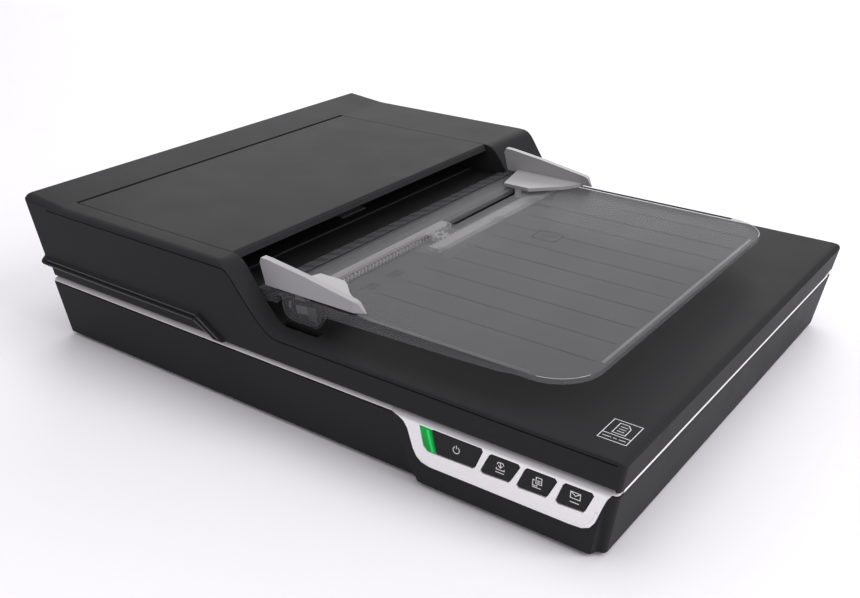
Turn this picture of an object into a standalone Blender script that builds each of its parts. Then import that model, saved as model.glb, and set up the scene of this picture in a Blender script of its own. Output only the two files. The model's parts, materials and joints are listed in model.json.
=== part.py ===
"""Flatbed document scanner with a sheet feeder in its lid.

Lengths are in millimetres from the middle of the base's underside: +X runs
towards the end of the input tray, -Y is the front with the control panel and
+Z is up. SHIFT moves that point so that the whole scanner is centred and
stands on its feet.
"""

import math

import bmesh
import bpy
from mathutils import Matrix, Vector

MM = 0.001
SHIFT = Vector((2.2, 0.0, 2.0))

# Base footprint and the lean of its walls, in millimetres out per millimetre up.
HALF_LENGTH = 170.0
HALF_WIDTH = 130.0
LEAN_LEFT = 0.157
LEAN_RIGHT = 0.165
LEAN_SIDE = 0.10
WALL = 2.4
CORNER = 2.4

# Heights.
BASE_TOP = 30.4
BEZEL_TOP = 34.0
LID_BOTTOM = 34.3
LID_TOP = 48.3
FEEDER_TOP = 78.9

# Rounding along the feeder's and the lid's front edge: its width, and the share
# of its drop that is left at each share of that width.
ROUND_WIDTH = 5.3
ROUND_SHARES = ((0.0, 1.0), (0.06, 0.67), (0.19, 0.41), (0.42, 0.19), (0.68, 0.05), (1.0, 0.0))

# White trim: height and inset from the walls, from its lower edge up. It slopes
# inwards under the lid.
TRIM_LEVELS = ((30.7, 0.9), (31.0, 0.5), (31.5, 0.4), (31.9, 0.7), (34.0, 2.9))
APRON_PROUD = 0.9
BUTTON_PROUD = 0.7

# Control panel plane: it leans out towards its foot.
PANEL_FOOT = -135.6
PANEL_LEAN = 0.075
CHIN_TUCK = 2.0
CHIN_TURN = 9.5

# Feeder bay between the cheeks.
BAY_LEFT = -154.2
BAY_FRONT = -124.9
BAY_REAR = 93.8
COVER_AXIS = (-151.5, 77.0)

# Lift lip: where it turns down, and how far it stands out at each height.
LIP_TURN = -53.0
LIP_LEVELS = (
    (41.2, 1.6),
    (41.6, 2.1),
    (42.5, 2.4),
    (43.2, 2.2),
    (44.2, 1.7),
    (45.4, 0.8),
    (46.6, 0.1),
)

RECESS_DEPTH = 1.3

# Lid hinge axis.
HINGE_Y = 133.0
HINGE_Z = 35.5
HINGE_X = (-118.0, 118.0)

# Input tray and the guides on it.
TRAY_TOP = 65.8
TRAY_THICK = 2.4
TRAY_LEFT = -9.6
TRAY_CORNER = 22.0
TRAY_RIGHT = 150.0
TRAY_FRONT = -123.8
TRAY_REAR = 93.0
GUIDE_WALL = 3.5
GUIDE_INNER = (-120.6, 90.4)
PINION = (7.75, -15.6)
PINION_RADIUS = 4.5
PINION_TEETH = 10
STEM_REACH = {-1: (18.8, 15.8), 1: (25.5, 22.5)}

# Feeder rollers and gears, as (x, z) of each axis.
MOTOR_AXIS = (-80.0, 62.5)
FEED_AXIS = (-122.0, 62.5)
EXIT_AXIS = (-42.16, 53.07)
PICK_AXIS = (-60.0, 68.4)
GEAR_LOW = 98.0
GEAR_HIGH = 103.0

# Carriage drive in the base.
DRIVE_X = 161.0
BELT_Y = 60.0
ROD_Z = 14.0
CARRIAGE_X = -150.0


def clear_scene():
    for obj in list(bpy.data.objects):
        bpy.data.objects.remove(obj, do_unlink=True)


clear_scene()
scanner = bpy.data.collections.new("document_scanner")
bpy.context.scene.collection.children.link(scanner)


def make_material(name, colour, roughness, metallic=0.0):
    material = bpy.data.materials.new(name)
    material.use_nodes = True
    shader = material.node_tree.nodes["Principled BSDF"]
    shader.inputs["Base Color"].default_value = (*colour, 1.0)
    shader.inputs["Roughness"].default_value = roughness
    shader.inputs["Metallic"].default_value = metallic
    material.diffuse_color = (*colour, 1.0)
    return material


BLACK = make_material("black_housing", (0.024, 0.023, 0.026), 0.45)
INNER = make_material("inner_plastic", (0.012, 0.012, 0.013), 0.6)
WHITE = make_material("white_plastic", (0.82, 0.82, 0.83), 0.35)
SMOKE = make_material("smoked_tray", (0.10, 0.10, 0.105), 0.3)
SILVER = make_material("silver_guide", (0.30, 0.30, 0.31), 0.35)
BUTTON = make_material("button_black", (0.012, 0.012, 0.013), 0.3)
GREEN = make_material("green_light", (0.0, 0.30, 0.06), 0.25)
GLASS = make_material("platen_glass", (0.55, 0.62, 0.62), 0.05)
RUBBER = make_material("grey_rubber", (0.06, 0.06, 0.065), 0.9)
STEEL = make_material("steel", (0.55, 0.55, 0.56), 0.3, 1.0)
BOARD = make_material("circuit_board", (0.02, 0.12, 0.05), 0.5)
ACETAL = make_material("white_acetal", (0.65, 0.65, 0.62), 0.5)


# Mesh tools. Each returns a bmesh or a mesh in millimetres.


def mesh_object(name, mesh):
    obj = bpy.data.objects.new(name, mesh)
    scanner.objects.link(obj)
    return obj


def from_bmesh(name, bm):
    bmesh.ops.recalc_face_normals(bm, faces=bm.faces)
    mesh = bpy.data.meshes.new(name)
    bm.to_mesh(mesh)
    bm.free()
    return mesh_object(name, mesh)


def loft(name, loops):
    """A solid through a stack of outlines that have the same number of points."""
    bm = bmesh.new()
    verts = [bm.verts.new(point) for point in loops[0]]
    face = bm.faces.new(verts)
    bm.faces.new(reversed([bm.verts.new(point) for point in loops[0]]))
    for loop in loops[1:]:
        made = bmesh.ops.extrude_discrete_faces(bm, faces=[face])
        face = made["faces"][0]
        for vert, point in zip(face.verts, loop):
            vert.co = point
    bmesh.ops.remove_doubles(bm, verts=bm.verts, dist=0.0001)
    bmesh.ops.triangulate(bm, faces=[f for f in bm.faces if len(f.verts) == 4])
    return from_bmesh(name, bm)


def box(name, low, high):
    bm = bmesh.new()
    bmesh.ops.create_cube(bm, size=1.0)
    low = Vector(low)
    high = Vector(high)
    bmesh.ops.scale(bm, vec=high - low, verts=bm.verts)
    bmesh.ops.translate(bm, vec=(low + high) / 2, verts=bm.verts)
    return from_bmesh(name, bm)


def rod(name, radius, start, end, segments=24, end_radius=None):
    start = Vector(start)
    end = Vector(end)
    length = (end - start).length
    turn = Vector((0, 0, 1)).rotation_difference(end - start).to_matrix().to_4x4()
    bm = bmesh.new()
    bmesh.ops.create_cone(
        bm,
        cap_ends=True,
        segments=segments,
        radius1=radius,
        radius2=radius if end_radius is None else end_radius,
        depth=length,
        matrix=Matrix.Translation((start + end) / 2) @ turn,
    )
    return from_bmesh(name, bm)


# An outline drawn in X and Y stays flat; one in X and Z is stood up facing the front.
FLAT = Matrix.Identity(4)
UPRIGHT = Matrix(((1, 0, 0, 0), (0, 0, 1, 0), (0, 1, 0, 0), (0, 0, 0, 1)))


def plate(name, outlines, low, high, stand=FLAT):
    """A flat piece from closed outlines; an outline inside another is a hole."""
    curve = bpy.data.curves.new(name, "CURVE")
    curve.dimensions = "2D"
    curve.fill_mode = "BOTH"
    curve.extrude = (high - low) / 2
    for outline in outlines:
        spline = curve.splines.new("POLY")
        spline.points.add(len(outline) - 1)
        for point, place in zip(spline.points, outline):
            point.co = (place[0], place[1], 0.0, 1.0)
        spline.use_cyclic_u = True
    helper = bpy.data.objects.new(name, curve)
    scanner.objects.link(helper)
    graph = bpy.context.evaluated_depsgraph_get()
    mesh = bpy.data.meshes.new_from_object(helper.evaluated_get(graph))
    bpy.data.objects.remove(helper)
    bpy.data.curves.remove(curve)
    mesh.transform(stand @ Matrix.Translation((0, 0, (low + high) / 2)))
    bm = bmesh.new()
    bm.from_mesh(mesh)
    bmesh.ops.remove_doubles(bm, verts=bm.verts, dist=0.0001)
    bpy.data.meshes.remove(mesh)
    return from_bmesh(name, bm)


def combine(obj, others, operation="DIFFERENCE"):
    """Cuts the other pieces from obj, or joins them to it, and removes them."""
    for other in others:
        modifier = obj.modifiers.new(operation.lower(), "BOOLEAN")
        modifier.operation = operation
        modifier.solver = "EXACT"
        modifier.object = other
        graph = bpy.context.evaluated_depsgraph_get()
        mesh = bpy.data.meshes.new_from_object(obj.evaluated_get(graph))
        obj.modifiers.clear()
        old = obj.data
        obj.data = mesh
        bpy.data.meshes.remove(old)
        bpy.data.objects.remove(other)
    return obj


def finish(obj, material, origin=(0.0, 0.0, 0.0), smooth=False):
    """Moves the piece into place in metres, with its origin at the given point."""
    origin = Vector(origin)
    obj.data.transform(Matrix.Scale(MM, 4) @ Matrix.Translation(-origin))
    obj.location = (origin + SHIFT) * MM
    obj.data.materials.clear()
    obj.data.materials.append(material)
    if smooth:
        obj.data.polygons.foreach_set("use_smooth", [True] * len(obj.data.polygons))
        obj.data.set_sharp_from_angle(angle=math.radians(35))
    return obj


def arc(centre, radius, start, end, steps):
    """Points on an arc, with angles in degrees."""
    points = []
    for index in range(steps + 1):
        angle = math.radians(start + (end - start) * index / steps)
        points.append(
            (
                centre[0] + radius * math.cos(angle),
                centre[1] + radius * math.sin(angle),
            )
        )
    return points


def rounded(x0, y0, x1, y1, radius, steps=4):
    """A rectangle with round corners, anticlockwise from its lower left corner."""
    points = arc((x0 + radius, y0 + radius), radius, 180, 270, steps)
    points += arc((x1 - radius, y0 + radius), radius, 270, 360, steps)
    points += arc((x1 - radius, y1 - radius), radius, 0, 90, steps)
    points += arc((x0 + radius, y1 - radius), radius, 90, 180, steps)
    return points


def wall_ring(z, inset, radius):
    """The housing's outline at one height, in from its leaning walls."""
    return rounded(
        -HALF_LENGTH - LEAN_LEFT * z + inset,
        -HALF_WIDTH - LEAN_SIDE * z + inset,
        HALF_LENGTH + LEAN_RIGHT * z - inset,
        HALF_WIDTH + LEAN_SIDE * z - inset,
        max(radius - inset, 1.0),
    )


def lean_block(name, low, high, inset, radius=CORNER):
    loops = []
    for z in (low, high):
        loops.append([(x, y, z) for x, y in wall_ring(z, inset, radius)])
    return loft(name, loops)


def panel_y(z):
    return PANEL_FOOT + PANEL_LEAN * z


def panel_plate(name, outline, lift, depth):
    """A plate that follows the control panel, from an outline in X and Z."""
    front = [(x, panel_y(z) - lift, z) for x, z in outline]
    back = [(x, panel_y(z) + depth, z) for x, z in outline]
    return loft(name, [front, back])


def grown(outline, amount):
    """A convex outline, anticlockwise, moved outward by a small amount."""
    result = []
    count = len(outline)
    for index in range(count):
        before = Vector(outline[index - 1])
        here = Vector(outline[index])
        after = Vector(outline[(index + 1) % count])
        first = (here - before).normalized()
        second = (after - here).normalized()
        bisector = Vector((first.y + second.y, -first.x - second.x)).normalized()
        stretch = max(bisector.dot(Vector((first.y, -first.x))), 0.4)
        result.append(tuple(here + bisector * amount / stretch))
    return result


def gear_outline(centre, radius, teeth, phase, depth=1.0, fill=0.40):
    """A gear's outline. Phase is the angle of the middle of one tooth, in radians."""
    points = []
    pitch = 2 * math.pi / teeth
    for index in range(teeth):
        middle = phase + index * pitch
        for offset, height in (
            (-0.62 * fill, -1.15),
            (-0.32 * fill, 0.85),
            (0.32 * fill, 0.85),
            (0.62 * fill, -1.15),
        ):
            angle = middle + offset * pitch
            reach = radius + height * depth
            points.append(
                (
                    centre[0] + reach * math.cos(angle),
                    centre[1] + reach * math.sin(angle),
                )
            )
    return points


def circle(centre, radius, steps=24):
    return arc(centre, radius, 0, 360 - 360 / steps, steps - 1)


# ---------------------------------------------------------------- base

# The chin swells out of the front wall under the control panel.
SWELL = (0.0, 0.12, 0.88, 1.0)


def base_outline(z, tuck=0.0):
    """The base's outline at one height, with the chin in its front edge. The chin's
    foot can be tucked in."""
    ring = wall_ring(z, 0.0, CORNER)
    front = -HALF_WIDTH - LEAN_SIDE * z
    reach = front - panel_y(z) - tuck
    share = z / BASE_TOP
    left_full = 82.0 - 12.0 * share
    left_end = left_full - 9.0 + 3.0 * share
    right_end = HALF_LENGTH + LEAN_RIGHT * z - CORNER
    right_full = 164.2 + 5.0 * share
    chin = []
    for index, swell in enumerate(SWELL):
        x = left_end + (left_full - left_end) * index / 3
        chin.append((x, front - swell * reach))
    for index, swell in enumerate(reversed(SWELL)):
        x = right_full + (right_end - right_full) * index / 3.4
        chin.append((x, front - swell * reach))
    return [(x, y, z) for x, y in ring[:5] + chin + ring[5:]]


APRON = [
    (65.0, 34.0),
    (65.4, 31.8),
    (69.4, 31.0),
    (72.6, 29.4),
    (74.8, 26.6),
    (76.6, 22.0),
    (78.2, 18.0),
    (80.2, 14.8),
    (83.0, 12.8),
    (87.4, 11.9),
    (123.0, 11.9),
    (156.0, 12.3),
    (161.6, 12.7),
    (164.8, 14.2),
    (166.6, 16.8),
    (168.1, 21.6),
    (169.6, 26.4),
    (170.8, 29.2),
    (172.2, 31.2),
    (172.4, 34.0),
]
LIGHT_OUTLINE = [(86.0, 19.3), (90.35, 19.1), (87.0, 30.1), (81.3, 30.1), (83.8, 21.2)]
POWER_OUTLINE = [
    (90.75, 19.35),
    (109.2, 19.8),
    (110.4, 20.9),
    (113.5, 29.2),
    (112.9, 30.2),
    (88.9, 30.2),
    (87.55, 29.9),
    (90.4, 20.2),
]


def leaning_button(left, right, drop):
    return [
        (left - drop + 1.0, 19.4),
        (right - drop - 0.8, 19.9),
        (right - drop, 20.9),
        (right, 28.6),
        (right - 0.8, 29.5),
        (left + 0.8, 29.4),
        (left - 0.3, 28.4),
        (left - drop, 20.2),
    ]


BUTTONS = {
    "power_button": POWER_OUTLINE,
    "scan_button": leaning_button(117.4, 131.6, 4.0),
    "copy_button": leaning_button(134.6, 148.7, 3.6),
    "mail_button": leaning_button(152.2, 165.0, 3.0),
}

levels = [base_outline(0.0, CHIN_TUCK), base_outline(CHIN_TURN), base_outline(BASE_TOP)]
base_shell = loft("base_shell", levels)
cuts = [lean_block("hollow", 2.4, BASE_TOP + 5.0, WALL)]
cuts.append(panel_plate("panel_window", grown(APRON, 0.3), 3.0, 12.0))
for side in (-1, 1):
    for end in (-1, 1):
        place = (150.0 * side, 110.0 * end)
        cuts.append(rod("foot_hole", 2.8, (*place, -1), (*place, 4), 16))
for x in HINGE_X:
    cuts.append(box("hinge_notch", (x - 14, 126, 24.0), (x + 14, 142, 40)))
cuts.append(box("usb_hole", (59.7, 120, 5.9), (72.3, 140, 17.5)))
cuts.append(rod("power_hole", 5.2, (88, 120, 11.5), (88, 140, 11.5), 24))
combine(base_shell, cuts)
finish(base_shell, BLACK)

# The bezel: a rim on the base, the frame around the glass and the panel's apron.
loops = []
for z, inset in TRIM_LEVELS:
    loops.append([(x, y, z) for x, y in wall_ring(z, inset, CORNER)])
bezel = loft("bed_bezel", loops)
apron = panel_plate("apron", APRON, APRON_PROUD, 2.2)
slope = [(-134.6, 30.9), (-130.4, 34.05), (-130.4, 40.0), (-140.0, 40.0), (-140.0, 30.9)]
combine(apron, [loft("slope", [[(x, y, z) for y, z in slope] for x in (50.0, 180.0)])])
step = lean_block("step", BEZEL_TOP - 1.0, 36.6, 4.4)
combine(bezel, [step, apron], "UNION")
cuts = [box("aperture", (-149.5, -109, 20), (149.5, 109, 50))]
cuts.append(box("rebate", (-154, -113.5, 20), (154, 113.5, 32.8)))
for x in HINGE_X:
    cuts.append(box("hinge_notch", (x - 14, 118, 24.0), (x + 14, 142, 40)))
for outline in BUTTONS.values():
    cuts.append(panel_plate("window", grown(outline, 0.35), 3.0, 6.0))
cuts.append(panel_plate("light_window", grown(LIGHT_OUTLINE, 0.25), 3.0, 6.0))

# Along the right end the white band is narrower, and the lid comes down to it.
band_view = [(171.6, 34.6), (171.9, 33.4), (173.4, 32.5), (190, 32.3), (190, 34.6)]
cuts.append(plate("narrow_band", [band_view], -140, 124, UPRIGHT))
combine(bezel, cuts)
finish(bezel, WHITE)

finish(box("platen_glass", (-153.5, -113, 29.9), (153.5, 113, 32.6)), GLASS)
finish(panel_plate("status_light", LIGHT_OUTLINE, APRON_PROUD - 0.1, 4.0), GREEN)
finish(box("panel_board", (84, -124.8, 14), (168, -123.2, 29.6)), BOARD)
finish(box("main_board", (40, 82, 4.2), (150, 120, 5.8)), BOARD)

for name, outline in BUTTONS.items():
    middle_x = sum(x for x, z in outline) / len(outline)
    middle_z = sum(z for x, z in outline) / len(outline)
    button = panel_plate(name, outline, BUTTON_PROUD, 5.0)
    finish(button, BUTTON, (middle_x, panel_y(middle_z), middle_z))

foot_names = ("foot_front_left", "foot_front_right", "foot_rear_left", "foot_rear_right")
for index, name in enumerate(foot_names):
    place = (150.0 * (-1, 1)[index % 2], 110.0 * (-1, 1)[index // 2])
    foot = rod(name, 8.2, (*place, -2.0), (*place, -0.25), 28, 9.0)
    stem = rod("stem", 2.5, (*place, -1.0), (*place, 3.4), 16)
    finish(combine(foot, [stem], "UNION"), RUBBER, (*place, -2.0), smooth=True)

usb = box("usb_socket", (60, 118, 6.1), (72, 133.2, 17.2))
mouth = box("mouth", (61.6, 124, 7.8), (70.4, 140, 15.6))
tongue = box("tongue", (63.2, 123.5, 10.4), (68.8, 132.2, 13.4))
combine(usb, [mouth])
finish(combine(usb, [tongue], "UNION"), STEEL)

power = rod("power_socket", 4.9, (88, 121, 11.5), (88, 132.4, 11.5), 24)
combine(power, [rod("bore", 3.1, (88, 124, 11.5), (88, 140, 11.5), 20)])
combine(power, [box("body", (82.5, 112, 6.1), (93.5, 123.5, 17))], "UNION")
combine(power, [rod("pin", 1.0, (88, 123, 11.5), (88, 131.5, 11.5), 12)], "UNION")
finish(power, INNER)

# Carriage drive: motor under the drive pulley, belt, idler pulley and rod.
motor = rod("scan_motor", 6.8, (-DRIVE_X, BELT_Y, 2.7), (-DRIVE_X, BELT_Y, 12.4), 32)
shaft = rod("shaft", 1.5, (-DRIVE_X, BELT_Y, 12), (-DRIVE_X, BELT_Y, 13.5), 12)
combine(motor, [shaft], "UNION")
finish(motor, STEEL, smooth=True)
for name, x in (("drive_pulley", -DRIVE_X), ("idler_pulley", DRIVE_X)):
    pulley = rod(name, 5.6, (x, BELT_Y, 13.8), (x, BELT_Y, 20.2), 32)
    finish(pulley, ACETAL, (x, BELT_Y, 17), smooth=True)


def belt_path(radius):
    left = arc((-DRIVE_X, BELT_Y), radius, 90, 270, 12)
    return left + arc((DRIVE_X, BELT_Y), radius, 270, 450, 12)


belt = plate("drive_belt", [belt_path(6.8), belt_path(6.0)], 14.5, 19.5)
finish(belt, RUBBER)
finish(rod("guide_rod", 3.0, (-168.8, 0, ROD_Z), (168.9, 0, ROD_Z), 24), STEEL, smooth=True)

carriage = box("carriage_body", (-158, -112, 21), (-142, 112, 28.6))
combine(carriage, [box("sleeve", (-158, -8, 8.5), (-142, 8, 22))], "UNION")
combine(carriage, [box("clamp", (-156, 46, 13.5), (-144, 52.9, 22))], "UNION")
combine(carriage, [box("clip", (-151.5, 52, 13.5), (-148.5, 55.5, 22))], "UNION")
cuts = [rod("bore", 3.35, (-165, 0, ROD_Z), (-135, 0, ROD_Z), 24)]
cuts.append(box("belt_slot", (-160, 52.9, 14.1), (-140, 54.4, 19.9)))
cuts.append(box("lens_slot", (-153, -110, 27), (-147, 110, 30)))
combine(carriage, cuts)
finish(carriage, INNER, (CARRIAGE_X, 0, ROD_Z))
lens = box("carriage_lens", (-152.7, -109.7, 27.3), (-147.3, 109.7, 28.9))
finish(lens, GLASS, (CARRIAGE_X, 0, ROD_Z))

# ---------------------------------------------------------------- lid hinges

for x, side in zip(HINGE_X, ("left", "right")):
    leg = box("hinge_leg_" + side, (x - 13.5, 121, 2.7), (x + 13.5, 126, 30))
    knuckles = []
    for low, high in ((x - 13.5, x - 5.3), (x + 5.3, x + 13.5)):
        bracket = [(125, 25.0), (131.5, 25.0), (136.2, 33.0)]
        bracket += arc((HINGE_Y, HINGE_Z), 3.3, 0, 150, 8)
        bracket += [(125, 28.0)]
        loops = [[(end, y, z) for y, z in bracket] for end in (low, high)]
        knuckles.append(loft("knuckle", loops))
    combine(leg, knuckles, "UNION")
    combine(leg, [rod("bore", 1.5, (x - 20, HINGE_Y, HINGE_Z), (x + 20, HINGE_Y, HINGE_Z), 16)])
    finish(leg, STEEL)
    pin = rod("hinge_pin_" + side, 1.2, (x - 13.3, HINGE_Y, HINGE_Z), (x + 13.3, HINGE_Y, HINGE_Z), 16)
    finish(pin, STEEL, smooth=True)
    hub = [(119.0, 39.6), (119.0, 45.0), (121.0, 45.0), (121.0, 41.6), (129, 41.6)]
    hub += list(reversed(arc((HINGE_Y, HINGE_Z), 3.3, -140, 70, 10)))
    hub += [(128.5, 39.6)]
    loops = [[(end, y, z) for y, z in hub] for end in (x - 5.0, x + 5.0)]
    arm = loft("hinge_arm_" + side, loops)
    combine(arm, [rod("bore", 1.5, (x - 20, HINGE_Y, HINGE_Z), (x + 20, HINGE_Y, HINGE_Z), 16)])
    finish(arm, STEEL, (x, HINGE_Y, HINGE_Z))

# ---------------------------------------------------------------- lid

# Side view of the lid and feeder from left to right: (x, z) on the middle part,
# and (x, z) of the same points lowered by the bevel along the front edge.
SIDE_VIEW = [
    ((-215.0, 70.0), (-215.0, 66.4)),
    ((-182.7, 80.6), (-182.1, 76.4)),
    ((-182.2, 81.2), (-181.7, 76.5)),
    ((-181.2, 81.5), (-180.8, 76.5)),
    ((-155.2, 79.1), (-155.2, 76.5)),
    ((-151.0, 78.9), (-151.0, 76.5)),
    ((-36.0, 78.9), (-31.0, 76.5)),
    ((-33.0, 78.6), (-29.6, 76.4)),
    ((-30.4, 77.7), (-28.3, 75.8)),
    ((-28.0, 75.8), (-26.9, 74.6)),
    ((-25.6, 72.9), (-25.2, 72.2)),
    ((-20.3, 65.6), (-20.7, 65.1)),
    ((-15.6, 59.2), (-16.1, 58.7)),
    ((-10.2, 52.9), (-10.7, 52.1)),
    ((-7.0, 50.2), (-7.4, 49.2)),
    ((-3.6, 48.8), (-4.0, 47.3)),
    ((1.2, 48.3), (0.7, 46.5)),
    ((173.0, 48.3), (173.0, 46.5)),
    ((175.6, 48.0), (175.6, 46.5)),
    ((177.0, 47.3), (176.8, 46.4)),
    ((177.8, 46.2), (177.7, 45.9)),
    ((205.0, 36.0), (205.0, 36.0)),
]


def lid_solid(name, inset):
    """The lid's outer form, or the same form shrunk by the wall thickness."""
    low = LID_BOTTOM if inset == 0 else LID_BOTTOM - 5
    loops = []
    edge = HALF_WIDTH + LEAN_SIDE * FEEDER_TOP
    stations = [(-edge - 4.0, 1.0)]
    for share, blend in ROUND_SHARES:
        stations.append((share * ROUND_WIDTH - edge, blend))
    stations.append((edge + 4.0, 0.0))
    for y, blend in stations:
        loop = [(-215.0, y, low)]
        for middle, edge_point in SIDE_VIEW:
            x = middle[0] + (edge_point[0] - middle[0]) * blend
            z = middle[1] + (edge_point[1] - middle[1]) * blend
            sloping = -37.0 < middle[0] < 0.0
            loop.append((x - (inset * 0.8 if sloping else 0.0), y, z - inset))
        loop.append((205.0, y, low))
        loops.append(loop)
    solid = loft(name, loops)
    block = lean_block("block", low - 3, FEEDER_TOP + 4, inset)
    return combine(solid, [block], "INTERSECT")


def lip_ring(z, reach, back=0.0):
    """The lift lip's outline: it wraps the front, left end and rear of the feeder."""
    left = -HALF_LENGTH - LEAN_LEFT * z - reach
    front = -HALF_WIDTH - LEAN_SIDE * z - reach
    rear = HALF_WIDTH + LEAN_SIDE * z - 8.0
    end = LIP_TURN + back
    points = arc((left + 3, front + 3), 3, 180, 270, 4)
    points += [(end - 1.5, front), (end + reach, front + reach + 0.2)]
    points += [(end + reach, front + 12), (end + reach, rear)]
    points += [(left + reach + 0.2, rear), (left, rear - 6)]
    return [(x, y, z) for x, y in points]


def lip_end(name, low, high):
    """The lip's slanted right end, a bar along the front wall down to its lower edge."""
    outline = [(LIP_TURN - 4.5, 41.2), (LIP_TURN, 45.4), (-37.0, 34.3), (-43.6, 34.3)]
    loops = []
    for reach, shrink in ((-1.0, 0.0), (low, 0.0), (high, 0.9)):
        loop = []
        middle_x = sum(x for x, z in outline) / 4
        middle_z = sum(z for x, z in outline) / 4
        for x, z in outline:
            slide = shrink * (1 if x < middle_x and z < 40 or x < -55 else -1)
            x = x + slide * 0.8
            y = -HALF_WIDTH - LEAN_SIDE * z - reach
            loop.append((x, y, max(z, 34.3)))
        loops.append(loop)
    return loft(name, loops)


lid_shell = lid_solid("lid_shell", 0.0)
hem = lean_block("hem", 32.6, LID_BOTTOM + 1.0, 0.06)
hem_view = [(173.0, 36.0), (173.8, 32.95), (190, 32.65), (190, 36.0)]
combine(hem, [plate("hem_end", [hem_view], -140, 120, UPRIGHT)], "INTERSECT")
lip = loft("lip", [lip_ring(z, reach) for z, reach in LIP_LEVELS])
combine(lid_shell, [hem, lip, lip_end("lip_end", 1.0, 2.0)], "UNION")
hollow = lid_solid("hollow", WALL)
bay_wall = box("bay_wall", (BAY_LEFT - 2.2, BAY_FRONT - 2.2, 46.0), (60, BAY_REAR + 2.2, 90))
combine(hollow, [bay_wall])
cuts = [hollow]
cuts.append(box("bay", (BAY_LEFT, BAY_FRONT, LID_TOP), (40, BAY_REAR, 90)))

# The shallow recess under the lip, and its slanted right end.
recess_view = [(-230, 30), (-43.6, 30), (-43.6, 34.3), (-51.8, 41.2), (-230, 41.2)]
recess = plate("recess", [recess_view], -150, 118, UPRIGHT)
cuts.append(combine(recess, [lean_block("core", 25.0, 60.0, RECESS_DEPTH)]))
cuts.append(box("front_slot", (-7.6, -124.2, 40), (15.0, -119.9, 60)))
cuts.append(box("rear_slot", (-7.6, 89.1, 40), (15.0, 93.4, 60)))
for x in HINGE_X:
    cuts.append(box("hinge_notch", (x - 14, 124, 30), (x + 14, 142, 40.6)))
for (x, z), radius in ((FEED_AXIS, 3.2), (EXIT_AXIS, 2.6), (MOTOR_AXIS, 0.0)):
    if radius:
        cuts.append(rod("shaft_hole", radius, (x, 90, z), (x, 97, z), 20))
for low, high in ((BAY_FRONT - 3, BAY_FRONT + 1), (BAY_REAR - 1, BAY_REAR + 3)):
    axis_x, axis_z = COVER_AXIS
    cuts.append(rod("pin_hole", 1.5, (axis_x, low, axis_z), (axis_x, high, axis_z), 16))
combine(lid_shell, cuts)
finish(lid_shell, BLACK, (0, HINGE_Y, HINGE_Z))

underplate = plate("lid_underplate", [rounded(-166, -126, 168, 117, 4)], 37.1, 39.3)
slots = [box("slot", (-8, -125, 30), (20.5, -118.6, 50)), box("slot", (-8, 88, 30), (20.5, 94, 50))]
combine(underplate, slots)
finish(underplate, INNER, (0, HINGE_Y, HINGE_Z))
finish(box("document_pad", (-148.5, -108, 33), (148.5, 108, 36.9)), WHITE, (0, HINGE_Y, HINGE_Z))

# ---------------------------------------------------------------- feeder inside

core_view = [(-112, 60), (-109, 62), (-25.3, 62), (-25.3, 58.5), (-33.4, 58.5)]
core_view += [(-33.4, 57.3), (-110, 57.3)]
core = plate("adf_core", [core_view], -124.5, 93.4, UPRIGHT)
combine(core, [box("sensor_bed", (-97, -113, 56), (-77, 83, 59.5))])
combine(core, [box("pad_bed", (-68, -26, 60.5), (-52, -5, 65))])
finish(core, INNER)
finish(box("separation_pad", (-67.7, -25.7, 60.8), (-52.3, -5.3, 62.7)), RUBBER)
finish(box("adf_sensor", (-96.6, -112.6, 51), (-77.4, 82.6, 59.2)), GLASS)
ramp_view = [(-25, 58.5), (-10.3, 58.5), (-10.3, 65.5), (-13.2, 65.3), (-14.4, 64.7), (-25, 62.3)]
finish(plate("feed_ramp", [ramp_view], -123.6, 92.6, UPRIGHT), SMOKE)
turn = list(arc(FEED_AXIS, 13.0, 80, 262, 16)) + list(reversed(arc(FEED_AXIS, 10.9, 80, 262, 16)))
finish(plate("turn_guide", [turn], -124.5, 93.4, UPRIGHT), INNER)
motor_x, motor_z = MOTOR_AXIS
motor = rod("adf_motor", 11.5, (motor_x, 104.6, motor_z), (motor_x, 127.5, motor_z), 28)
finish(motor, STEEL, smooth=True)


def roller(prefix, axis, radius, shaft_radius, ends, tyres):
    x, z = axis
    shaft = rod(prefix + "_shaft", shaft_radius, (x, ends[0], z), (x, ends[1], z), 20)
    finish(shaft, STEEL, (x, 0, z), smooth=True)
    for name, low, high in tyres:
        rings = [circle(axis, radius, 28), circle(axis, shaft_radius + 0.15, 20)]
        tyre = plate(name, rings, low, high, UPRIGHT)
        finish(tyre, RUBBER, (x, 0, z), smooth=True)


feed_tyres = (("feed_tyre_front", -60, -36), ("feed_tyre_rear", 5, 29))
roller("feed", FEED_AXIS, 8.0, 2.5, (-124.3, 103.4), feed_tyres)
exit_tyres = (("exit_tyre_front", -60, -44), ("exit_tyre_rear", 13, 29))
roller("exit", EXIT_AXIS, 3.8, 2.0, (-124.3, 103.4), exit_tyres)
roller("pick", PICK_AXIS, 5.0, 1.8, (-34, 3), (("pick_tyre", -26, -5),))


def mesh_phase(axis, radius, phase, other, other_radius, other_teeth):
    """The other gear's tooth angle that puts it in mesh with the first gear."""
    teeth = round(radius * 2)
    towards = math.atan2(other[1] - axis[1], other[0] - axis[0])
    pitch = 2 * math.pi / teeth
    behind = (towards - phase) % pitch
    return towards + math.pi + behind * radius / other_radius + math.pi / other_teeth


def between(start, end, distance):
    start = Vector(start)
    return tuple(start + (Vector(end) - start).normalized() * distance)


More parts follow.
